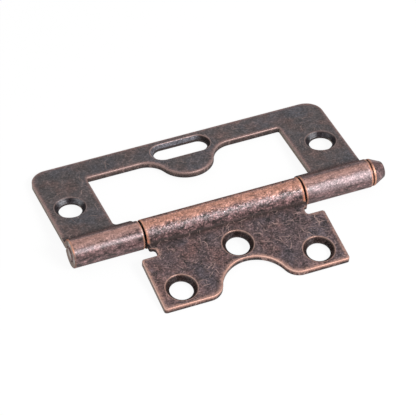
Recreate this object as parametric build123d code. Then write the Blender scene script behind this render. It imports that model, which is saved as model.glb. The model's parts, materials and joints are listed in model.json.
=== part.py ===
from build123d import *
from math import asin, atan2, cos, degrees, hypot, radians, sin, sqrt, tan
import os

os.makedirs("parts", exist_ok=True)

# Sheet, pin and barrel. A reach is a distance from the pin axis along a leaf, square to the pin.
sheet = 1.5
pin_diameter = 4.0
running_clearance = 0.05
knuckle_gap = 0.45
crease_radius = 0.75
seam_gap = 0.4
edge_round = 0.25

# Screw holes, the same in both leaves.
hole_diameter = 5.7
sink_diameter = 7.7
sink_angle = 90.0

# Outer leaf: two arms and a back bar round a window, with a strip in front of it at each knuckle.
outer_width = 76.2
outer_reach = 31.2
outer_corner = 4.4
arm_width = 12.85
bar_width = 6.75
strip_depth = 1.17
strip_corner = 0.9
window_back_corner = 0.5
window_front_corner = 1.0
outer_hole_edge = 5.55
outer_hole_reach = 15.4

# Tab on the back bar, the reach of its tip, and the countersunk slot that leaves slot_edge of the bar.
tab_tip = 16.25
tab_radius = 6.9
tab_root_radius = 5.5
slot_edge = 1.4
slot_length = 13.9
slot_width = 4.8
slot_sink = 0.8

# Inner leaf. It nests in the window, with a gap to the arms and another to the back bar and the tab.
side_gap = 2.0
nest_gap = 1.4
ear_width = 3.1
inner_corner = 0.7
notch_lead = 0.97
notch_width = 2.5
notch_corner = 0.8
notch_flat = 0.05
knuckle_corner = 0.5
side_hole_edge = 5.95
side_hole_setback = 4.9
middle_hole_web = 0.75

# Pin ends: a plain end just proud of one knuckle, a shoulder and a tapered tip at the other.
pin_proud = 0.3
pin_chamfer = 0.3
shoulder_diameter = 5.6
shoulder_length = 0.45
tip_diameter = 6.7
tip_band = 0.4
tip_length = 3.4
tip_end_diameter = 3.8
tip_end_round = 0.5

pin_radius = pin_diameter / 2
outer_bore = pin_radius
inner_bore = pin_radius + running_clearance
barrel_radius = inner_bore + sheet


def flat_start(bore):
    """Reach at which the leaf's bend into its knuckle begins."""
    bend = crease_radius + sheet / 2
    return sqrt((bore + sheet / 2 + bend) ** 2 - bend**2)


# The outer leaf's window, holes and slot, placed from its edges.
window_width = outer_width - 2 * arm_width
window_back = outer_reach - bar_width
window_front = flat_start(outer_bore) + strip_depth
outer_hole_spacing = outer_width - 2 * outer_hole_edge
slot_reach = outer_reach - slot_edge - slot_sink - slot_width / 2

# The inner leaf, placed from the window and the tab that it clears.
inner_width = window_width - 2 * side_gap
inner_reach = window_back - nest_gap
inner_knuckle_length = inner_width - 2 * ear_width
neck_width = inner_knuckle_length - 2 * (knuckle_corner + notch_flat + notch_corner)
notch_start = flat_start(inner_bore) + notch_lead
notch_end = notch_start + notch_width
side_hole_spacing = inner_width - 2 * side_hole_edge
side_hole_reach = inner_reach - side_hole_setback
middle_hole_reach = tab_tip - nest_gap - middle_hole_web - sink_diameter / 2

# The outer leaf's knuckles, in what the inner knuckle leaves of the barrel.
outer_knuckle_start = inner_knuckle_length / 2 + knuckle_gap
outer_knuckle_length = outer_width / 2 - outer_knuckle_start


def rolled_knuckle(bore, start, length):
    """A knuckle rolled over the top of the pin, with its tail under the leaf, along X from start."""
    bend = crease_radius + sheet / 2
    bend_at = (flat_start(bore), bend)
    rise = degrees(atan2(bend, bend_at[0]))
    rim = bore + sheet
    tail = degrees(asin((sheet / 2 + seam_gap) / rim))
    wrap = 360 - tail - rise
    tail_in = (bore * cos(radians(tail)), -bore * sin(radians(tail)))
    tail_out = (rim * cos(radians(tail)), -rim * sin(radians(tail)))
    edges = [
        CenterArc(bend_at, crease_radius, 180 + rise, 90 - rise),
        CenterArc((0, 0), rim, rise, wrap),
        Line(tail_out, tail_in),
        CenterArc((0, 0), bore, rise, wrap),
        CenterArc(bend_at, crease_radius + sheet, 180 + rise, 90 - rise),
        Line((bend_at[0], -sheet / 2), (bend_at[0], sheet / 2)),
    ]
    return Pos(start, 0, 0) * extrude(Plane.YZ * make_face(edges), length)


def tab_face(grow):
    """The tab's outline, grown outward by grow and carried back to the middle of the bar."""
    tip_at = tab_tip + tab_radius
    root_at = window_back - tab_root_radius
    root_x = sqrt((tab_radius + tab_root_radius) ** 2 - (tip_at - root_at) ** 2)
    dip = degrees(atan2(tip_at - root_at, root_x))
    root = tab_root_radius - grow
    base = window_back - grow
    back = window_back + bar_width / 2
    edges = [
        CenterArc((0, tip_at), tab_radius + grow, 180 + dip, 180 - 2 * dip),
        CenterArc((root_x, root_at), root, 90, 90 - dip),
        CenterArc((-root_x, root_at), root, dip, 90 - dip),
        Line((root_x, base), (root_x, back)),
        Line((root_x, back), (-root_x, back)),
        Line((-root_x, back), (-root_x, base)),
    ]
    return make_face(edges)


def band(width, near, far):
    """A rectangle centred on X, from near to far along Y."""
    return Pos(0, (near + far) / 2) * Rectangle(width, far - near)


def round_corners(face, corners, radius):
    """Rounds the face's corners that lie at the given points or at their mirror images in X."""
    picked = []
    for vertex in face.vertices():
        for x, y in corners:
            if hypot(abs(vertex.X) - x, vertex.Y - y) < sheet / 10:
                picked.append(vertex)
    return fillet(picked, radius)


def screw_hole(x, y):
    """The cut for one countersunk screw hole, its wide end at the leaf's top face."""
    depth = (sink_diameter - hole_diameter) / 2 / tan(radians(sink_angle / 2))
    sink = Pos(0, 0, (sheet - depth) / 2) * Cone(hole_diameter / 2, sink_diameter / 2, depth)
    return Pos(x, y, 0) * (Cylinder(hole_diameter / 2, 2 * sheet) + sink)


def slot_cut():
    """The cut for the countersunk slot in the tab."""
    through = extrude(SlotOverall(slot_length, slot_width), sheet, both=True)
    mouth = SlotOverall(slot_length + 2 * slot_sink, slot_width + 2 * slot_sink)
    floor = SlotOverall(slot_length, slot_width)
    sink = loft([Pos(0, 0, sheet / 2 - slot_sink) * floor, Pos(0, 0, sheet / 2) * mouth])
    return Pos(0, slot_reach, 0) * (through + sink)


def is_round_edge(edge, bore):
    """True for the worn edges: the outline on the top face and the rims of the knuckle ends."""
    box = edge.bounding_box()
    flat = flat_start(bore)
    on_top = abs(box.min.Z - sheet / 2) < 1e-4 and abs(box.max.Z - sheet / 2) < 1e-4
    crease_line = box.max.Y - flat < 1e-4 and box.size.X > 1e-3
    if on_top:
        return not crease_line
    if box.size.X > 1e-4 or edge.geom_type != GeomType.CIRCLE:
        return False
    return abs(edge.radius - bore - sheet) < 1e-4 or abs(edge.radius - crease_radius) < 1e-4


def worn(leaf, bore):
    """The leaf with its countersunk-side edges rounded."""
    return fillet([edge for edge in leaf.edges() if is_round_edge(edge, bore)], edge_round)


def outer_leaf():
    """The framed leaf, flat along +Y with the pin axis on X and the countersunk face up."""
    half = outer_width / 2
    blank = band(outer_width, flat_start(outer_bore), outer_reach)
    blank = round_corners(blank, [(half, outer_reach)], outer_corner)
    opening = band(window_width, window_front, window_back)
    passage = band(2 * outer_knuckle_start, 0, (window_front + window_back) / 2)
    face = blank - opening - passage
    face = round_corners(face, [(window_width / 2, window_back)], window_back_corner)
    face = round_corners(face, [(window_width / 2, window_front)], window_front_corner)
    face = round_corners(face, [(outer_knuckle_start, window_front)], strip_corner)
    face = face + tab_face(0)
    leaf = extrude(face, sheet / 2, both=True)
    for start in (-half, outer_knuckle_start):
        leaf = leaf + rolled_knuckle(outer_bore, start, outer_knuckle_length)
    for side in (-1, 1):
        leaf = leaf - screw_hole(side * outer_hole_spacing / 2, outer_hole_reach)
    leaf = leaf - slot_cut()
    return worn(leaf, outer_bore)


def inner_leaf():
    """The nesting leaf, flat along +Y with the pin axis on X and the countersunk face up."""
    half = inner_width / 2
    knuckle = inner_knuckle_length / 2
    neck = neck_width / 2
    near = flat_start(inner_bore)
    face = band(inner_knuckle_length, near, notch_start)
    face = face + band(neck_width, (near + notch_start) / 2, (notch_end + inner_reach) / 2)
    face = face + band(inner_width, notch_end, inner_reach)
    face = round_corners(face, [(half, notch_end), (half, inner_reach)], inner_corner)
    face = round_corners(face, [(neck, notch_start), (neck, notch_end)], notch_corner)
    face = round_corners(face, [(knuckle, notch_start)], knuckle_corner)
    face = face - tab_face(nest_gap)
    leaf = extrude(face, sheet / 2, both=True)
    leaf = leaf + rolled_knuckle(inner_bore, -knuckle, inner_knuckle_length)
    for side in (-1, 1):
        leaf = leaf - screw_hole(side * side_hole_spacing / 2, side_hole_reach)
    leaf = leaf - screw_hole(0, middle_hole_reach)
    return worn(leaf, inner_bore)


def hinge_pin():
    """The pin along X, turned from its outline, with the tapered tip at +X."""
    half = outer_width / 2
    plain = -half - pin_proud
    tip = half + shoulder_length
    end = tip + tip_length
    outline = Polyline(
        (end, 0),
        (plain, 0),
        (plain, pin_radius - pin_chamfer),
        (plain + pin_chamfer, pin_radius),
        (half, pin_radius),
        (half, shoulder_diameter / 2),
        (tip, shoulder_diameter / 2),
        (tip, tip_diameter / 2),
        (tip + tip_band, tip_diameter / 2),
        (end, tip_end_diameter / 2),
        close=True,
    )
    face = round_corners(make_face(outline), [(end, tip_end_diameter / 2)], tip_end_round)
    return revolve(face, Axis.X)


def resting_tilt(reach):
    """Angle at which a leaf of this reach slopes from the barrel to the surface the barrel lies on."""
    return degrees(asin(barrel_radius / hypot(reach, sheet / 2)) - atan2(sheet / 2, reach))


pieces = {
    "outer_leaf": Rot(-resting_tilt(outer_reach), 0, 0) * outer_leaf(),
    "inner_leaf": Rot(resting_tilt(inner_reach), 0, 0) * Rot(0, 0, 180) * inner_leaf(),
    "hinge_pin": hinge_pin(),
}

# The frame's origin is at the middle of the hinge's footprint, on the surface it lies on.
extent = Compound(list(pieces.values())).bounding_box()
to_origin = Pos(-extent.center().X, -extent.center().Y, -extent.min.Z)
for name, piece in pieces.items():
    export_step(to_origin * piece, f"parts/{name}.step")
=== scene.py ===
import json
from math import radians, tau

import bpy
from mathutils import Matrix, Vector

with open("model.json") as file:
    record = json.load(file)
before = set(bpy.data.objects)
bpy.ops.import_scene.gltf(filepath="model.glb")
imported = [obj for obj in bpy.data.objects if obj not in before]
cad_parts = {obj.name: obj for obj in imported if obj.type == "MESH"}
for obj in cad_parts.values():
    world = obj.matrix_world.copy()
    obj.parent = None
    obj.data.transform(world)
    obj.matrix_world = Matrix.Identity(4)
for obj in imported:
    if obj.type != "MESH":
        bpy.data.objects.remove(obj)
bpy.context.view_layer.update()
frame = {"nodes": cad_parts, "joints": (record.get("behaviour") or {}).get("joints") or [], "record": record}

MM = 0.001

# The photograph's camera, in the frame's metres and degrees, with its lens in millimetres.
CAMERA_AT = (-0.1660064, -0.3864545, 0.4068771)
CAMERA_TURN = (45.99807, -0.77658, -22.04939)
CAMERA_LENS = 211.709
CAMERA_SENSOR = 36.0
CAMERA_CLIP = (0.01, 20.0)

# The studio, in metres and watts. The floor lies a hair below the hinge.
FLOOR_HALF = 4.0
FLOOR_DROP = 0.00002
FLOOR_PAINT = (0.9, 0.9, 0.9, 1.0)
FLOOR_GLOW = 0.92
WHITE = (1.0, 1.0, 1.0, 1.0)
WORLD_STRENGTH = 0.72
KEY_TOWARDS = (0.36, -0.67, 0.65)
KEY_AWAY = 0.6
KEY_SIZE = (0.24, 0.17)
KEY_POWER = 3.0

# The pin, the holes and the leaves' own axes, from the frame.
joint = frame["joints"][0]
mounts = {mount["name"]: mount for mount in frame["record"]["mounts"]}
PIN_AT = Vector(joint["pos_m"])
PIN_ALONG = Vector(joint["axis"])
SCREW_HOLES = [mount for mount in mounts.values() if mount["kind"] == "bore"]
SLOT = mounts["adjusting_slot"]
OUTER_UP = -Vector(mounts["frame_face"]["axis"])
INNER_UP = -Vector(mounts["door_face"]["axis"])
OUTER_REACH = OUTER_UP.cross(PIN_ALONG)
INNER_REACH = PIN_ALONG.cross(INNER_UP)
PIN_UP = Vector((0, 0, 1))
PIN_REACH = Vector((0, 1, 0))

# Sizes of the hinge that the finish follows, in millimetres. Places along the pin are from its middle.
BARREL_RADIUS = 3.55
SHEET = 1.5
TOP_FACE = SHEET / 2
SINK_RADIUS = 3.85
SLOT_RADIUS = SLOT["dims"]["hole_r_mm"]
SLOT_STRAIGHT = SLOT["dims"]["slot_length_mm"] / 2 - SLOT_RADIUS
SLOT_SINK = 0.8
GAP_AT = 20.4
PLAIN_END_AT = -37.8
TIP_BAND_AT = 38.7

# Distances from the pin's axis, in millimetres, over which the barrel's outside begins and its look goes out.
OUTSIDE_COMES = (2.4, 2.8)
BARREL_GOES = (BARREL_RADIUS + 0.1, BARREL_RADIUS + 0.6)

# Reaches from the pin, in millimetres, over which the crease's painted shade and its dark line come in and go
# out.
CREASE = ((1.6, 3.4), (4.0, 6.2))
CREASE_SHADE_LINE = ((3.2, 3.8), (4.1, 4.6))

# How far before a look's free_edge, in millimetres, the halo and the browner sides, where their painted shade
# gives way, begin to gain, and the shares that they gain from and to.
HALO_GAINS_OVER = 4
HALO_GAIN = (0.2, 0.5)
SIDE_GAINS_OVER = 2
SIDE_GAIN = (0.2, 1.0)

# Distances past the rim of a hole, in millimetres, over which things come in and go out.
RIM_LINE = ((-0.2, -0.05), (0.05, 0.25))
SLOT_GOES = (-0.15, 0.05)
SINK_GOES = (0.0, 0.2)
HOLE_GOES = (0.0, 0.3)
BY_HOLE_GOES = (0.2, 1.2)

# Heights above the middle of the sheet, in millimetres, over which things come in.
UPPER_SIDE = (TOP_FACE - 1.0, TOP_FACE - 0.4)
TOP_EDGE = (TOP_FACE - 0.4, TOP_FACE - 0.1)
# The sides' painted shade gives way to brown over these heights.
BROWN_SIDE = (-0.4 * SHEET, 0.3 * SHEET)

# Places along the pin, in millimetres, over which things come in or go out, from left to right.
PLAIN_END_GOES = (PLAIN_END_AT, PLAIN_END_AT + 1)
# The narrow painted highlight band on the left knuckle goes out over this range.
NARROW_HIGHLIGHT_GOES = (-GAP_AT - 8, -GAP_AT)
LEFT_GAP_RIM = ((-GAP_AT - 0.9, -GAP_AT - 0.5), (-GAP_AT, -GAP_AT + 0.1))
# The painted shadow at the slot's right end comes in over this range.
SLOT_SHADOW_COMES = (SLOT_STRAIGHT, SLOT_STRAIGHT + 2)
# The outer leaf's sides keep more painted shade towards the right over this range.
RIGHT_SIDE_SHADE_GROWS = (6, 14)
# The wide painted highlight band on the right knuckle comes in over this range.
WIDE_HIGHLIGHT_COMES = (GAP_AT - 2, GAP_AT + 4)

# The same, by the distance from the middle of the pin, from a gap and its painted shade, and from the tip's
# band.
END_FACES_COME = (GAP_AT + 1, GAP_AT + 2)
GAP_GOES = (0.3, 0.6)
TIP_BAND_GOES = (0.15, 0.4)

# Angles round the barrel, in degrees from its top towards the inner leaf: where a band comes in and goes out.
BACK_BAND = ((-75, -45), (-26, -10))
# A painted glint on the rim by the left gap.
RIM_GLINT_BAND = ((12, 24), (40, 54))
# Pale specks painted in the barrel's highlight band.
HIGHLIGHT_SPECKLE_BAND = ((18, 36), (48, 70))
# The narrow and the wide painted highlight bands round the end knuckles.
NARROW_HIGHLIGHT_BAND = ((30, 39), (44, 54))
WIDE_HIGHLIGHT_BAND = ((22, 40), (56, 84))
CREST_GOES = (4, 44)
BARE_GOES = (2, 26)
CREST_DRIFT = 9
LOW_RIM = (35, 60)
DULL_FRONT = (85, 120)
DULL_BACK = (-35, -12)

# The painted glints of a turned countersink, pale wedges by the angle round its hole, in degrees from the
# pin's direction towards the outer leaf's free edge. The right wedge is stronger at the left end of the
# barrel than at the right. The marks of the turning, which break up the painted glints, run round the hole,
# this many millimetres of noise to a radian.
LEFT_WEDGE = ((74, 106), (112, 148))
RIGHT_WEDGE = ((-4, 26), (36, 70))
RIGHT_WEDGE_STRENGTH = (1.2, 0.4)
MARKS_PER_RADIAN = 0.4

# How far a normal turns towards a leaf's up, as cosines over which things come in or go out.
UPRIGHT_GOES = (0.2, 0.5)
CREASE_COMES = (0.0, 0.4)
FACE_UP = (0.1, 0.4)
OVER_EDGE = (0.1, 0.5)
SLOT_BEVEL_COMES = (0.3, 0.6)
SINK_SLOPE = ((0.5, 0.6), (0.8, 0.88))
HALO_COMES = (0.6, 0.9)
FLAT_TOP = (0.8, 0.97)

# The same towards the pin's direction, and towards the front and left, where the edges' wear is painted
# brighter as a highlight.
LEFT_FACE_GOES = (-0.5, -0.2)
RIM_GOES = (0.8, 0.95)
END_FACE = (0.85, 0.95)
LIT_EDGE_SIDE = (-0.45, -0.8, 0.4)
LIT_EDGE_COMES = (0.1, 0.5)

# The leans of an edge's rounded normal that make a tilt of 0 and of 1, and tilts over which wear comes in.
EDGE_LEAN = (0.02, 0.5)
WEAR_COMES = (0.0, 0.15)
SPECKLED_WEAR_COMES = (0.1, 0.9)

# The shader's metal and roughness, from kept patina to bare copper, and its bump, in millimetres.
PATINA_METAL = 0.2
BARE_METAL = 0.95
SINK_METAL = 0.9
ROUGHNESS = (0.25, 0.36)
HIGHLIGHT_BAND_ROUGHER = 0.3
WEAR_ROUGHER = 0.3
DULL_ROUGHER = 0.5
BUMP_HEIGHT = 0.2
LEAF_RELIEF = 0.2
BEVEL_SAMPLES = 16

# Shares: how strongly a layer covers what lies under it, how much is left or lost in a place, and the
# ranges of crease and of wear over which an effect goes out.
BACK_COVER = 0.85
# The crease's and the sides' covers are for dark patina with painted shade.
CREASE_SHADE_COVER = 0.85
UPRIGHT_SHADE_COVER = 0.8
FLANK_COVER = 0.9
END_COVER = 0.8
# How strongly the narrow painted highlight band covers.
NARROW_HIGHLIGHT_COVER = 0.8
CORNER_WEAR = 0.92
SLOT_RIM_WEAR = 0.6
BY_HOLE_WEAR = 0.15
LOW_RIM_LOSS = 0.8
CREST_GRAIN = 0.4
OFF_CREASE = (0.0, 0.5)
UNWORN = (0.0, 0.3)

# The finish's colours, as they look on screen, 0 to 255.
# Dark patina that also stands for painted shade, on the sheet's sides and in the crease's line.
DEEP_PATINA_AND_SHADE = (46, 34, 32)
# Brown patina and painted shade in the crease.
CREASE_PATINA_AND_SHADE = (62, 44, 42)
FLANK_BROWN = (90, 67, 67)
# Painted highlight, for the pale bands and specks along the barrel.
HIGHLIGHT_SILVER = (168, 148, 151)
SCRATCH = (190, 158, 150)
# The slot's bevel: a painted reflection, going over to painted shadow at its right end.
SLOT_REFLECTION_GREY = (112, 111, 117)
SLOT_SHADOW_DARK = (46, 42, 42)
# Painted glints in the countersinks.
SINK_GLINT_GREY = (100, 100, 104)
END_GREY = (138, 122, 112)
RIM_COPPER = (226, 166, 138)
# Painted glints on edges and on a rim.
GLINT = (252, 212, 196)
# Painted shade in the gaps between the knuckles.
GAP_SHADE_BLACK = (16, 12, 12)

# The finish's noise patterns. The seed picks a place in the noise, that many steps along, the size is in
# millimetres, and a pattern with a squeeze under 1 is drawn out along the pin.
SEED_STEP = (17.3, 31.7, 11.9)
PATTERNS = {
    "warm": {"seed": 0, "size": 5.0, "detail": 4.0, "roughness": 0.6},
    "cool": {"seed": 1, "size": 8.0, "detail": 3.0, "roughness": 0.55},
    "drift": {"seed": 2, "size": 3.0, "detail": 2.0, "roughness": 0.55},
    "streaks": {"seed": 3, "size": 0.8, "detail": 3.0, "roughness": 0.65, "squeeze": 0.4},
    "gathered": {"seed": 7, "size": 4.0, "detail": 2.0, "roughness": 0.55},
    "broken": {"seed": 8, "size": 1.4, "detail": 4.0, "roughness": 0.65},
    "fine": {"seed": 9, "size": 0.4, "detail": 2.0, "roughness": 0.6},
    "coarse": {"seed": 10, "size": 1.7, "detail": 3.0, "roughness": 0.6},
    "rub": {"seed": 11, "size": 0.6, "detail": 4.0, "roughness": 0.7, "squeeze": 0.25},
    "pebbles": {"seed": 12, "size": 0.5, "detail": 2.0, "roughness": 0.6},
    "silver": {"seed": 13, "size": 0.55, "detail": 3.0, "roughness": 0.7},
    "specks": {"seed": 15, "size": 0.5, "detail": 3.0, "roughness": 0.65},
    "halo": {"seed": 16, "size": 0.8, "detail": 4.0, "roughness": 0.7},
    "turning": {"seed": 17, "size": 0.22, "detail": 2.0, "roughness": 0.6},
}

# How a pattern's noise becomes a share: over these values of the noise, from one share to the other.
SHARES = {
    "warm": (0.42, 0.68, 0.0, 0.7),
    "cool": (0.42, 0.66, 0.0, 0.7),
    "streaks": (0.32, 0.68, 0.15, 2.1),
    "gathered": (0.32, 0.56, 0.0, 1.0),
    "broken": (0.3, 0.65, 0.5, 1.0),
    "rub": (0.28, 0.6, 0.25, 1.0),
    "silver": (0.44, 0.6, 0.0, 1.0),
    "specks": (0.3, 0.7, -0.35, 0.35),
    "halo": (0.35, 0.65, 0.2, 1.6),
    "turning": (0.35, 0.65, 0.5, 1.0),
}

# The values of the noise over which the other patterns have their effect, and the fine grain's strengths.
DRIFT_NOISE = (0.2, 0.8)
MOTTLE_NOISE = (0.25, 0.75)
ROUGHNESS_NOISE = (0.3, 0.7)
DARK_GRAIN_NOISE = (0.3, 0.55)
LIGHT_GRAIN_NOISE = (0.5, 0.75)
DARK_GRAIN = 0.27
LIGHT_GRAIN = 0.9

# A scratch within its cell: how far it wavers, its bend's radius and where it fades out, in cells, its solid
# core as a share of its width, and the draws over which it grows from faint to clear.
SCRATCH_WANDER = 0.9
SCRATCH_BEND = (1.2, 4)
SCRATCH_FADES = (0.2, 0.6)
SCRATCH_CORE = 0.3
SCRATCH_CLEARS = (0.15, 0.9)

# Three sets of scratches, from long to short: cell and width in millimetres, and strength.
SCRATCH_SETS = [
    {"seed": 14, "cell": 5.2, "width": 0.13, "strength": 0.85},
    {"seed": 5, "cell": 2.6, "width": 0.13, "strength": 1.0},
    {"seed": 6, "cell": 1.3, "width": 0.1, "strength": 0.8},
]

# What differs between the pieces: colours first, then angles in degrees, a range of cosines, reaches in
# millimetres, and shares of each effect. What gains towards the free edge is full from the reach free_edge
# on, so 0 gives it to the whole leaf. A pair of shares is for the left and the right end of the barrel.
# Some shares are for painted highlights and glints, and some for painted shade in the crease and on the
# sides.
OUTER_LOOK = {
    "patina": (68, 61, 62),
    "warm": (87, 65, 61),
    "cool": (62, 62, 69),
    "side": (86, 68, 64),
    "sink": (46, 43, 47),
    "back": (98, 76, 74),
    "crest": (192, 150, 140),
    "bright": (188, 157, 150),
    "halo": (146, 108, 102),
    "crest_comes": (-20, -2),
    "crest_turn": 9,
    "rim_lean": (0.12, 0.5),
    "free_edge": 0.0,
    "wear_reach": 1.1,
    "halo_reach": 2.0,
    "wear": 0.62,
    "sheltered_wear": 0.5,
    "hole_rim": 0.3,
    "sink_glint": 1.0,
    "tip_band": 0.0,
    "glint": 0.0,
    "right_side": 0.3,
    "crease_line": 0.0,
    "burnish": 0.5,
    "streaks": (0.85, 0.7),
    "speckle": 0.1,
    "scratches": 0.3,
    "grain": 1.5,
    "mottle": 0.3,
    "relief": 0.2,
}
INNER_LOOK = {
    "patina": (74, 60, 62),
    "warm": (97, 69, 65),
    "cool": (63, 58, 64),
    "side": (112, 80, 72),
    "sink": (50, 39, 38),
    "back": (122, 84, 74),
    "crest": (214, 156, 136),
    "bright": (206, 163, 148),
    "halo": (172, 132, 122),
    "crest_comes": (-23, -4),
    "crest_turn": 0,
    "rim_lean": (0.12, 0.5),
    "free_edge": 20.0,
    "wear_reach": 1.7,
    "halo_reach": 2.4,
    "wear": 1.0,
    "sheltered_wear": 0.3,
    "hole_rim": 0.55,
    "sink_glint": 0.15,
    "tip_band": 0.0,
    "glint": 1.0,
    "right_side": 1.0,
    "crease_line": 0.8,
    "burnish": 0.0,
    "streaks": (1.0, 1.0),
    "speckle": 0.4,
    "scratches": 0.6,
    "grain": 2.3,
    "mottle": 0.5,
    "relief": 0.5,
}
PIN_LOOK = dict(
    OUTER_LOOK,
    crest=(104, 76, 74),
    rim_lean=(0.45, 0.7),
    wear_reach=0.35,
    tip_band=0.9,
    burnish=0.0,
)


def colour(rgb):
    """A colour as it looks on screen, 0 to 255, as the linear colour that shaders take."""
    linear = []
    for channel in rgb:
        share = channel / 255
        linear.append(share / 12.92 if share <= 0.04045 else ((share + 0.055) / 1.055) ** 2.4)
    return (*linear, 1.0)


def in_radians(angles):
    return tuple(radians(angle) for angle in angles)


class Shader:
    """A material's node tree, with one short call for each kind of node."""

    def __init__(self, name):
        self.material = bpy.data.materials.new(name)
        self.material.use_nodes = True
        self.tree = self.material.node_tree
        self.tree.nodes.clear()

    def add(self, kind, inputs, **settings):
        """A node with its settings, and each input either linked or set."""
        node = self.tree.nodes.new(kind)
        for key, value in settings.items():
            setattr(node, key, value)
        for key, value in inputs.items():
            if isinstance(value, bpy.types.NodeSocket):
                self.tree.links.new(value, node.inputs[key])
            else:
                node.inputs[key].default_value = value
        return node

    def math(self, operation, a, b=0.0, c=0.0):
        return self.add("ShaderNodeMath", {0: a, 1: b, 2: c}, operation=operation).outputs[0]

    def total(self, a, b):
        return self.math("ADD", a, b)

    def less(self, a, b):
        return self.math("SUBTRACT", a, b)

    def size(self, a):
        return self.math("ABSOLUTE", a)

    def invert(self, share):
        return self.less(1.0, share)

    def product(self, first, *rest):
        for other in rest:
            first = self.math("MULTIPLY", first, other)
        return first

    def most(self, first, *rest):
        for other in rest:
            first = self.math("MAXIMUM", first, other)
        return first

    def least(self, first, *rest):
        for other in rest:
            first = self.math("MINIMUM", first, other)
        return first

    def ramp(self, value, low, high, at_low, at_high, kind="SMOOTHSTEP"):
        """A step from at_low to at_high as value goes from low to high."""
        inputs = {"Value": value, "From Min": low, "From Max": high, "To Min": at_low, "To Max": at_high}
        return self.add("ShaderNodeMapRange", inputs, interpolation_type=kind).outputs[0]

    def rise(self, value, low, high):
        return self.ramp(value, low, high, 0.0, 1.0)

    def fall(self, value, low, high):
        return self.ramp(value, low, high, 1.0, 0.0)

    def band(self, value, comes, goes):
        """A step up over the range comes and down again over the range goes."""
        return self.product(self.rise(value, *comes), self.fall(value, *goes))

    def vector(self, operation, a, b=(0, 0, 0)):
        return self.add("ShaderNodeVectorMath", {0: a, 1: b}, operation=operation).outputs[0]

    def measure(self, operation, a, b=(0, 0, 0)):
        return self.add("ShaderNodeVectorMath", {0: a, 1: b}, operation=operation).outputs["Value"]

    def dot(self, a, b):
        return self.measure("DOT_PRODUCT", a, b)

    def scale(self, a, factor):
        return self.add("ShaderNodeVectorMath", {0: a, "Scale": factor}, operation="SCALE").outputs[0]

    def combine(self, **parts):
        return self.add("ShaderNodeCombineXYZ", parts).outputs[0]

    def mix(self, share, a, b):
        return self.add("ShaderNodeMix", {0: share, 6: a, 7: b}, data_type="RGBA").outputs[2]

    def tint(self, base, share, rgb):
        """The base with a share of a screen colour over it."""
        return self.mix(share, base, colour(rgb))

    def shade(self, base, strength, share):
        """The base times a strength, as far as the share goes."""
        factor = self.math("MULTIPLY_ADD", self.less(strength, 1.0), share, 1.0)
        return self.scale(base, factor)

    def shift(self, at, seed):
        """The same place in another part of a pattern."""
        return self.vector("ADD", at, tuple(seed * step for step in SEED_STEP))

    def noise(self, at, seed, size, detail, roughness, squeeze=1.0):
        place = self.vector("MULTIPLY", self.shift(at, seed), (squeeze, 1.0, 1.0))
        inputs = {"Vector": place, "Scale": 1 / size, "Detail": detail, "Roughness": roughness}
        return self.add("ShaderNodeTexNoise", inputs).outputs[0]


def wandering(shader, place, cell):
    """A place moved about by noise, so that a line through it wavers."""
    inputs = {"Vector": place, "Scale": 1 / cell, "Detail": 3.0}
    wander = shader.add("ShaderNodeTexNoise", inputs).outputs["Color"]
    wander = shader.vector("SUBTRACT", wander, (0.5, 0.5, 0.5))
    return shader.vector("ADD", place, shader.scale(wander, SCRATCH_WANDER * cell))


def hairlines(shader, at, seed, cell, width):
    """Short curved scratches: in each cell, a piece of a ring through the cell's middle."""
    place = wandering(shader, shader.shift(at, seed), cell)
    cells = shader.add("ShaderNodeTexVoronoi", {"Vector": place, "Scale": 1 / cell}, voronoi_dimensions="2D")
    middle = cells.outputs["Position"]
    draw = shader.add("ShaderNodeSeparateColor", {0: cells.outputs["Color"]}).outputs
    turn = shader.math("MULTIPLY", draw[0], tau)
    heading = shader.combine(X=shader.math("COSINE", turn), Y=shader.math("SINE", turn))
    bend = shader.ramp(draw[1], 0.0, 1.0, *[cells_wide * cell for cells_wide in SCRATCH_BEND])
    centre = shader.vector("ADD", middle, shader.scale(heading, bend))
    flat = shader.vector("MULTIPLY", place, (1, 1, 0))
    off_line = shader.size(shader.less(shader.measure("DISTANCE", flat, centre), bend))
    line = shader.fall(off_line, SCRATCH_CORE * width, width)
    off_middle = shader.measure("DISTANCE", flat, middle)
    near = shader.fall(off_middle, *[cells_wide * cell for cells_wide in SCRATCH_FADES])
    return shader.product(line, near, shader.rise(draw[2], *SCRATCH_CLEARS))


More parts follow.
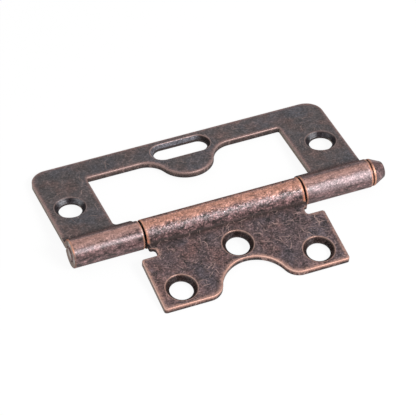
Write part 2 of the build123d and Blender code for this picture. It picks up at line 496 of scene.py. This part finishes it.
class Spot:
    """Where a point lies on the hinge, as sockets of a shader, in millimetres, radians and shares."""

    def __init__(self, shader, up, reach):
        self.shader = shader
        self.up = up
        self.reach = reach
        coords = shader.add("ShaderNodeTexCoord", {}).outputs
        self.normal = coords["Normal"]
        self.from_pin = shader.scale(shader.vector("SUBTRACT", coords["Object"], PIN_AT), 1 / MM)
        self.along = shader.dot(self.from_pin, PIN_ALONG)
        self.out = shader.dot(self.from_pin, reach)
        self.high = shader.dot(self.from_pin, up)
        self.at = shader.combine(X=self.along, Y=self.out, Z=self.high)
        self.find_barrel()
        self.find_slopes()
        self.find_holes()
        self.find_crease()

    def find_barrel(self):
        """The angle round the pin, the distance from it, and what is barrel and what is leaf."""
        shader = self.shader
        place = shader.add("ShaderNodeSeparateXYZ", {0: self.from_pin}).outputs
        self.round_pin = shader.math("ARCTAN2", shader.math("MULTIPLY", place["Y"], -1.0), place["Z"])
        self.to_pin = shader.measure("LENGTH", shader.combine(Y=self.out, Z=self.high))
        self.barrel = shader.fall(self.to_pin, *BARREL_GOES)
        self.leaf = shader.invert(self.barrel)

    def find_slopes(self):
        """The sheet's sides, the countersinks' slopes and the faces square to the pin."""
        shader = self.shader
        self.facing = shader.dot(self.normal, self.up)
        self.face_up = shader.rise(self.facing, *FACE_UP)
        self.upright = shader.product(shader.fall(shader.size(self.facing), *UPRIGHT_GOES), self.leaf)
        self.sunk = shader.product(shader.band(self.facing, *SINK_SLOPE), self.leaf)
        self.end_face = shader.rise(shader.size(shader.dot(self.normal, PIN_ALONG)), *END_FACE)

    def from_hole(self, mount):
        return self.shader.vector("SUBTRACT", self.from_pin, (Vector(mount["pos_m"]) - PIN_AT) / MM)

    def past_hole(self, mount, radius, straight=0.0):
        """How far outside a round hole, or a slot with a straight part along the pin, in millimetres."""
        shader = self.shader
        off = self.from_hole(mount)
        beside = shader.less(shader.size(shader.dot(off, PIN_ALONG)), straight)
        flat = shader.combine(X=shader.most(beside, 0.0), Y=shader.dot(off, self.reach))
        return shader.less(shader.measure("LENGTH", flat), radius)

    def rim_line(self, past):
        """A thin line along the rim of a hole, on the side that faces up."""
        return self.shader.product(self.shader.band(past, *RIM_LINE), self.face_up)

    def painted_sink_glints(self, hole, past):
        """Painted glints: the pale wedges of a turned countersink, with the fine marks of its turning."""
        shader = self.shader
        off = self.from_hole(hole)
        angle = shader.math("ARCTAN2", shader.dot(off, self.up.cross(PIN_ALONG)), shader.dot(off, PIN_ALONG))
        left = shader.band(angle, *map(in_radians, LEFT_WEDGE))
        right = shader.band(angle, *map(in_radians, RIGHT_WEDGE))
        fading = shader.ramp(self.along, -GAP_AT, GAP_AT, *RIGHT_WEDGE_STRENGTH)
        wedges = shader.most(left, shader.product(right, fading))
        round_hole = shader.combine(X=past, Y=shader.product(angle, MARKS_PER_RADIAN))
        marks = shader.ramp(shader.noise(round_hole, **PATTERNS["turning"]), *SHARES["turning"])
        return shader.product(shader.fall(past, *SINK_GOES), wedges, marks)

    def find_holes(self):
        """What lies in the holes and the slot, on their rims and close by, with the painted glints in the
        countersinks.
        """
        shader = self.shader
        past_each = [self.past_hole(hole, SINK_RADIUS) for hole in SCREW_HOLES]
        past_screws = shader.least(*past_each)
        past_slot = self.past_hole(SLOT, SLOT_RADIUS + SLOT_SINK, SLOT_STRAIGHT)
        past_any = shader.least(past_screws, past_slot)
        self.hole_rim = self.rim_line(past_screws)
        self.slot_rim = self.rim_line(past_slot)
        self.in_slot = shader.fall(past_slot, *SLOT_GOES)
        self.off_hole = shader.invert(shader.fall(past_any, *HOLE_GOES))
        self.by_hole = shader.fall(past_any, *BY_HOLE_GOES)
        glints = [self.painted_sink_glints(hole, past) for hole, past in zip(SCREW_HOLES, past_each)]
        self.painted_glint = shader.most(*glints)

    def find_crease(self):
        """The hollow where the leaf leaves the barrel."""
        shader = self.shader
        on_top = shader.rise(self.facing, *CREASE_COMES)
        self.crease = shader.product(shader.band(self.out, *CREASE), on_top)
        self.crease_line = shader.product(shader.band(self.out, *CREASE_SHADE_LINE), on_top)
        self.off_crease = shader.fall(self.crease, *OFF_CREASE)

    def noise(self, pattern):
        return self.shader.noise(self.at, **PATTERNS[pattern])

    def share(self, pattern):
        return self.shader.ramp(self.noise(pattern), *SHARES[pattern])

    def angle_band(self, band):
        """A band along the barrel, given by the angles over which it comes in and goes out."""
        return self.shader.product(self.shader.band(self.round_pin, *map(in_radians, band)), self.barrel)


class Finish:
    """Antique copper: dark patina over copper, worn bright on the edges and along the barrel's crest, with
    painted highlights, glints and shade.
    """

    def __init__(self, name, up, reach, look):
        self.shader = Shader(name)
        self.spot = Spot(self.shader, up, reach)
        self.look = look
        self.coarse = self.spot.noise("coarse")
        self.broken = self.spot.share("broken")
        self.rounded = self.edge_normal(look["wear_reach"])
        self.crest = self.crest_share(CREST_GOES)
        self.back = self.shader.product(self.spot.angle_band(BACK_BAND), BACK_COVER)
        # The painted highlight bands along the end knuckles.
        self.burnish = self.shader.product(self.painted_highlight_share(), look["burnish"])
        # Painted glints in the countersinks, and the matt rest of them.
        painted_glint = self.shader.product(self.spot.painted_glint, look["sink_glint"])
        self.glinting_sink = self.shader.product(self.spot.sunk, painted_glint)
        self.matt_sink = self.shader.product(self.spot.sunk, self.shader.invert(painted_glint))
        self.leaf_wear = self.shader.most(self.edge_wear(), self.hole_wear())
        self.rim_wear = self.knuckle_rim_wear()
        self.wear = self.shader.most(self.leaf_wear, self.rim_wear)

    def crest_share(self, goes):
        """How much copper shows along the top of the barrel, thinned out over the angles in goes."""
        shader, spot = self.shader, self.spot
        turn = shader.ramp(spot.along, -GAP_AT, GAP_AT, 0.0, radians(self.look["crest_turn"]))
        rise = shader.rise(shader.less(spot.round_pin, turn), *in_radians(self.look["crest_comes"]))
        drift = shader.ramp(spot.noise("drift"), *DRIFT_NOISE, *in_radians((-CREST_DRIFT, CREST_DRIFT)))
        fall = shader.fall(shader.total(spot.round_pin, drift), *in_radians(goes))
        return shader.product(rise, fall, spot.share("rub"), spot.barrel)

    def painted_highlight_share(self):
        """Painted highlights: the pale bands along the end knuckles' fronts, a narrow one and a wide one."""
        shader, spot = self.shader, self.spot
        left = shader.ramp(spot.along, *NARROW_HIGHLIGHT_GOES, NARROW_HIGHLIGHT_COVER, 0.0)
        right = shader.rise(spot.along, *WIDE_HIGHLIGHT_COMES)
        narrow = shader.product(left, spot.angle_band(NARROW_HIGHLIGHT_BAND))
        wide = shader.product(right, spot.angle_band(WIDE_HIGHLIGHT_BAND))
        return shader.total(narrow, wide)

    def edge_normal(self, reach):
        """The normal as it would be with the edges rounded to a radius in millimetres."""
        rounded = self.shader.add("ShaderNodeBevel", {"Radius": reach * MM}, samples=BEVEL_SAMPLES).outputs[0]
        sort = {"vector_type": "NORMAL", "convert_from": "WORLD", "convert_to": "OBJECT"}
        return self.shader.add("ShaderNodeVectorTransform", {0: rounded}, **sort).outputs[0]

    def edge_tilt(self, rounded):
        """How far a rounded normal leans away from the leaf's up, 0 to 1."""
        shader = self.shader
        lean = shader.most(shader.invert(shader.dot(rounded, self.spot.up)), 0.0)
        return shader.ramp(shader.math("SQRT", lean), *EDGE_LEAN, 0.0, 1.0, kind="LINEAR")

    def away_from_holes(self):
        """Less wear close to a hole's rim than along the outline."""
        return self.shader.ramp(self.spot.by_hole, 0.0, 1.0, 1.0, BY_HOLE_WEAR)

    def edge_wear(self):
        """How worn the leaf is along its top edges, broken up by specks, with a crisp line on the corner, and
        more on edges facing the lit front and left, as a painted highlight.
        """
        shader, spot, look = self.shader, self.spot, self.look
        tilt = self.edge_tilt(self.rounded)
        speckled = shader.rise(shader.total(tilt, spot.share("specks")), *SPECKLED_WEAR_COMES)
        soft = shader.product(shader.rise(tilt, *WEAR_COMES), speckled, self.broken)
        corner = shader.product(shader.band(spot.facing, FACE_UP, FLAT_TOP), CORNER_WEAR)
        over_edge = shader.rise(shader.dot(self.rounded, spot.up), *OVER_EDGE)
        upper = shader.rise(spot.high, *UPPER_SIDE)
        top = shader.rise(spot.high, *TOP_EDGE)
        upper = shader.least(upper, shader.most(top, spot.off_hole))
        # Wear stronger on edges facing the lit front and left, weaker facing away: a painted highlight.
        lit_edge = shader.dot(self.rounded, LIT_EDGE_SIDE)
        lit_edge = shader.ramp(lit_edge, *LIT_EDGE_COMES, look["sheltered_wear"], 1.0)
        edge = shader.product(shader.most(soft, corner), over_edge, upper, lit_edge)
        return shader.product(edge, spot.off_crease, spot.leaf, self.away_from_holes(), look["wear"])

    def hole_wear(self):
        """How worn the rims of the holes and of the slot are."""
        shader, spot = self.shader, self.spot
        holes = shader.product(spot.hole_rim, self.broken, self.look["hole_rim"])
        slot = shader.product(spot.slot_rim, self.broken, SLOT_RIM_WEAR)
        return shader.most(holes, slot)

    def knuckle_rim_wear(self):
        """How worn the rims of the knuckles' ends and of the pin's tip are."""
        shader, spot, look = self.shader, self.spot, self.look
        outside = shader.product(shader.rise(spot.to_pin, *OUTSIDE_COMES), spot.barrel)
        outside = shader.product(outside, self.broken, self.broken)
        left_end = shader.fall(spot.along, *PLAIN_END_GOES)
        low = shader.ramp(spot.round_pin, *in_radians(LOW_RIM), 0.0, LOW_RIM_LOSS)
        outside = shader.product(outside, shader.invert(shader.product(left_end, low)))
        lean = shader.size(shader.dot(self.rounded, PIN_ALONG))
        rim = shader.product(shader.band(lean, look["rim_lean"], RIM_GOES), outside)
        off_band = shader.size(shader.less(spot.along, TIP_BAND_AT))
        tip_band = shader.product(shader.fall(off_band, *TIP_BAND_GOES), outside, look["tip_band"])
        return shader.most(rim, tip_band)

    def halo_share(self):
        """The soft warm band along the top face's edges, widest on the free edge."""
        shader, spot = self.shader, self.spot
        tilt = self.edge_tilt(self.edge_normal(self.look["halo_reach"]))
        on_top = shader.rise(spot.facing, *HALO_COMES)
        free_edge = self.look["free_edge"]
        free = shader.ramp(spot.out, free_edge - HALO_GAINS_OVER, free_edge, *HALO_GAIN)
        band = shader.product(tilt, spot.share("halo"), on_top, free)
        return shader.product(band, spot.off_crease, spot.leaf, self.away_from_holes())

    def unshaded_side_share(self):
        """The browner upper part of the sheet's sides, mostly along the free edge, where the sides' painted
        shade gives way; lower down and towards the outer leaf's right the painted shade stays.
        """
        shader, spot, look = self.shader, self.spot, self.look
        upper = shader.rise(spot.high, *BROWN_SIDE)
        right = shader.ramp(spot.along, *RIGHT_SIDE_SHADE_GROWS, 1.0, look["right_side"])
        free = shader.ramp(spot.out, look["free_edge"] - SIDE_GAINS_OVER, look["free_edge"], *SIDE_GAIN)
        return shader.product(spot.upright, upper, spot.off_hole, right, free)

    def patina(self):
        """Mottled patina with warm and cool blotches, and dark patina with painted shade along the crease."""
        shader, spot, look = self.shader, self.spot, self.look
        base = shader.mix(spot.share("warm"), colour(look["patina"]), colour(look["warm"]))
        base = shader.tint(base, spot.share("cool"), look["cool"])
        return shader.tint(base, shader.product(spot.crease, CREASE_SHADE_COVER), CREASE_PATINA_AND_SHADE)

    def recesses(self, base):
        """The sides, darkened with dark patina and painted shade, the dark countersinks with their painted
        glints, and the slot's bevel, a painted reflection with painted shadow towards its right end.
        """
        shader, spot, look = self.shader, self.spot, self.look
        # The sheet's sides darkened: dark patina and painted shade.
        base = shader.tint(base, shader.product(spot.upright, UPRIGHT_SHADE_COVER), DEEP_PATINA_AND_SHADE)
        # Their upper part lifted to brown out of the painted shade.
        base = shader.tint(base, self.unshaded_side_share(), look["side"])
        base = shader.tint(base, spot.sunk, look["sink"])
        # The painted glints in the countersinks.
        base = shader.tint(base, self.glinting_sink, SINK_GLINT_GREY)
        # The slot's bevel: a painted reflection, with painted shadow towards its right end.
        slot_shadow_share = shader.rise(spot.along, *SLOT_SHADOW_COMES)
        slot = shader.mix(slot_shadow_share, colour(SLOT_REFLECTION_GREY), colour(SLOT_SHADOW_DARK))
        bevel = shader.product(spot.in_slot, shader.rise(spot.facing, *SLOT_BEVEL_COMES))
        return shader.mix(bevel, base, slot)

    def barrel(self, base):
        """The knuckles: streaked flanks, a reddish back, painted highlight bands and specks, and a copper
        crest.
        """
        shader, spot, look = self.shader, self.spot, self.look
        base = shader.tint(base, shader.product(spot.barrel, FLANK_COVER), FLANK_BROWN)
        streaked = shader.ramp(spot.along, -GAP_AT, GAP_AT, *look["streaks"])
        base = shader.shade(base, spot.share("streaks"), shader.product(spot.barrel, streaked))
        base = shader.tint(base, self.back, look["back"])
        # The painted highlight bands.
        base = shader.tint(base, self.burnish, HIGHLIGHT_SILVER)
        base = shader.tint(base, self.crest, look["crest"])
        # Pale specks painted in the highlight band.
        silver = shader.product(spot.angle_band(HIGHLIGHT_SPECKLE_BAND), spot.share("silver"), look["speckle"])
        return shader.tint(base, silver, HIGHLIGHT_SILVER)

    def grain(self, base):
        """Fine and coarse mottling, calmer on the crest."""
        shader, look = self.shader, self.look
        fine = self.spot.noise("fine")
        dark = shader.ramp(fine, *DARK_GRAIN_NOISE, 1 - DARK_GRAIN * look["grain"], 1.0)
        light = shader.ramp(fine, *LIGHT_GRAIN_NOISE, 0.0, LIGHT_GRAIN * look["grain"])
        mottle = shader.ramp(self.coarse, *MOTTLE_NOISE, -look["mottle"], look["mottle"])
        strength = shader.total(shader.total(dark, light), mottle)
        return shader.shade(base, strength, shader.ramp(self.crest, 0.0, 1.0, 1.0, CREST_GRAIN))

    def scratches(self, base):
        """Fine pale scratches, gathered in places, and the painted shade line in the crease under them."""
        shader, spot, look = self.shader, self.spot, self.look
        # The painted shade line at the crease's foot.
        base = shader.tint(base, shader.product(spot.crease_line, look["crease_line"]), DEEP_PATINA_AND_SHADE)
        lines = 0.0
        for kind in SCRATCH_SETS:
            line = hairlines(shader, spot.at, kind["seed"], kind["cell"], kind["width"])
            lines = shader.most(lines, shader.product(line, kind["strength"]))
        shown = shader.product(lines, spot.share("gathered"), spot.leaf, spot.off_hole, look["scratches"])
        return shader.tint(base, shown, SCRATCH)

    def bare_copper(self, base):
        """The worn edges and rims, with a painted glint on the inner leaf's left-facing edges and on the rim
        by the left gap.
        """
        shader, spot, look = self.shader, self.spot, self.look
        base = shader.tint(base, self.halo_share(), look["halo"])
        # A painted glint on the inner leaf's left-facing edges.
        left_face = shader.fall(shader.dot(spot.normal, PIN_ALONG), *LEFT_FACE_GOES)
        glint = shader.product(left_face, spot.face_up, look["glint"])
        base = shader.mix(self.leaf_wear, base, shader.tint(colour(look["bright"]), glint, GLINT))
        # A painted glint on the rim by the left gap.
        rim_glint = shader.product(shader.band(spot.along, *LEFT_GAP_RIM), spot.angle_band(RIM_GLINT_BAND))
        return shader.mix(self.rim_wear, base, shader.tint(colour(RIM_COPPER), rim_glint, GLINT))

    def ends(self, base):
        """Painted shade, near black, on the end faces in the gaps between the knuckles, and the grey end
        faces.
        """
        shader, spot = self.shader, self.spot
        from_middle = shader.size(spot.along)
        off_gap = shader.size(shader.less(from_middle, GAP_AT))
        # Painted shade in the gaps between the knuckles.
        in_gap = shader.product(shader.fall(off_gap, *GAP_GOES), spot.end_face)
        base = shader.tint(base, in_gap, GAP_SHADE_BLACK)
        at_end = shader.rise(from_middle, *END_FACES_COME)
        return shader.tint(base, shader.product(at_end, spot.end_face, END_COVER), END_GREY)

    def metal(self):
        """Metal where the copper is bare, and in the countersinks, which stay dark that way."""
        shader = self.shader
        bare = shader.most(self.wear, self.crest_share(BARE_GOES))
        metal = shader.ramp(bare, 0.0, 1.0, PATINA_METAL, BARE_METAL)
        return shader.most(metal, self.back, shader.product(self.matt_sink, SINK_METAL))

    def roughness(self):
        """Satin all over, rougher where worn or under the painted highlight bands, dull in recesses and round
        the barrel's sides.
        """
        shader, spot = self.shader, self.spot
        rough = shader.ramp(self.coarse, *ROUGHNESS_NOISE, *ROUGHNESS)
        rough = shader.math("MULTIPLY_ADD", self.burnish, HIGHLIGHT_BAND_ROUGHER, rough)
        rough = shader.math("MULTIPLY_ADD", self.wear, WEAR_ROUGHER, rough)
        front = shader.rise(spot.round_pin, *in_radians(DULL_FRONT))
        back = shader.fall(spot.round_pin, *in_radians(DULL_BACK))
        sides = shader.product(shader.total(front, back), spot.barrel)
        recess = shader.product(shader.most(spot.upright, self.matt_sink), shader.fall(self.wear, *UNWORN))
        dull = shader.most(spot.crease, sides, recess)
        return shader.math("MULTIPLY_ADD", dull, DULL_ROUGHER, rough)

    def bump(self):
        """A fine pebbled surface, stronger or weaker on the barrel."""
        shader = self.shader
        relief = shader.ramp(self.spot.barrel, 0.0, 1.0, LEAF_RELIEF, self.look["relief"])
        height = shader.product(self.spot.noise("pebbles"), relief)
        inputs = {"Strength": 1.0, "Distance": BUMP_HEIGHT * MM, "Height": height}
        return shader.add("ShaderNodeBump", inputs).outputs[0]

    def material(self):
        base = self.recesses(self.patina())
        for layer in (self.barrel, self.grain, self.scratches, self.bare_copper, self.ends):
            base = layer(base)
        surface = self.shader.add("ShaderNodeBsdfPrincipled", {
            "Base Color": base,
            "Metallic": self.metal(),
            "Roughness": self.roughness(),
            "Normal": self.bump(),
        })
        self.shader.add("ShaderNodeOutputMaterial", {"Surface": surface.outputs[0]})
        return self.shader.material


def floor_paint():
    """White paint that shows white to the camera and in reflections, and still takes the shadow."""
    shader = Shader("studio_floor")
    path = shader.add("ShaderNodeLightPath", {}).outputs
    seen = shader.most(path["Is Camera Ray"], path["Is Glossy Ray"], path["Is Transmission Ray"])
    paint = shader.add("ShaderNodeBsdfDiffuse", {"Color": FLOOR_PAINT}).outputs[0]
    glow = shader.add("ShaderNodeEmission", {"Color": WHITE, "Strength": 1.0}).outputs[0]
    share = shader.product(seen, FLOOR_GLOW)
    surface = shader.add("ShaderNodeMixShader", {0: share, 1: paint, 2: glow}).outputs[0]
    shader.add("ShaderNodeOutputMaterial", {"Surface": surface})
    return shader.material


def floor():
    """A pale floor with the hinge's soft shadow."""
    corners = []
    for x, y in ((-1, -1), (1, -1), (1, 1), (-1, 1)):
        corners.append((x * FLOOR_HALF, y * FLOOR_HALF, -FLOOR_DROP))
    mesh = bpy.data.meshes.new("studio_floor")
    mesh.from_pydata(corners, [], [(0, 1, 2, 3)])
    mesh.materials.append(floor_paint())
    plane = bpy.data.objects.new("studio_floor", mesh)
    bpy.context.scene.collection.objects.link(plane)


def softbox(name, towards, away, size, power):
    """A rectangular lamp, away metres off in a direction from the hinge, facing it."""
    lamp = bpy.data.lights.new(name, "AREA")
    lamp.shape = "RECTANGLE"
    lamp.size, lamp.size_y = size
    lamp.energy = power
    thing = bpy.data.objects.new(name, lamp)
    direction = Vector(towards).normalized()
    thing.location = direction * away
    thing.rotation_euler = direction.to_track_quat("Z", "Y").to_euler()
    bpy.context.scene.collection.objects.link(thing)


def studio():
    """The world's even light and the key lamp."""
    world = bpy.data.worlds.new("studio")
    world.use_nodes = True
    back = world.node_tree.nodes["Background"]
    back.inputs["Color"].default_value = WHITE
    back.inputs["Strength"].default_value = WORLD_STRENGTH
    bpy.context.scene.world = world
    softbox("key", KEY_TOWARDS, KEY_AWAY, KEY_SIZE, KEY_POWER)


def camera():
    """The camera at the photograph's place."""
    lens = bpy.data.cameras.new("camera")
    lens.lens = CAMERA_LENS
    lens.sensor_width = CAMERA_SENSOR
    lens.clip_start, lens.clip_end = CAMERA_CLIP
    thing = bpy.data.objects.new("camera", lens)
    thing.location = CAMERA_AT
    thing.rotation_euler = in_radians(CAMERA_TURN)
    bpy.context.scene.collection.objects.link(thing)
    bpy.context.scene.camera = thing


def dress(node, up, reach, look):
    """Gives a CAD node its finish."""
    piece = frame["nodes"][node]
    piece.data.materials.clear()
    piece.data.materials.append(Finish(node + "_finish", up, reach, look).material())


dress("outer_leaf", OUTER_UP, OUTER_REACH, OUTER_LOOK)
dress("inner_leaf", INNER_UP, INNER_REACH, INNER_LOOK)
dress("hinge_pin", PIN_UP, PIN_REACH, PIN_LOOK)
floor()
studio()
camera()
bpy.context.scene.view_settings.view_transform = "Standard"
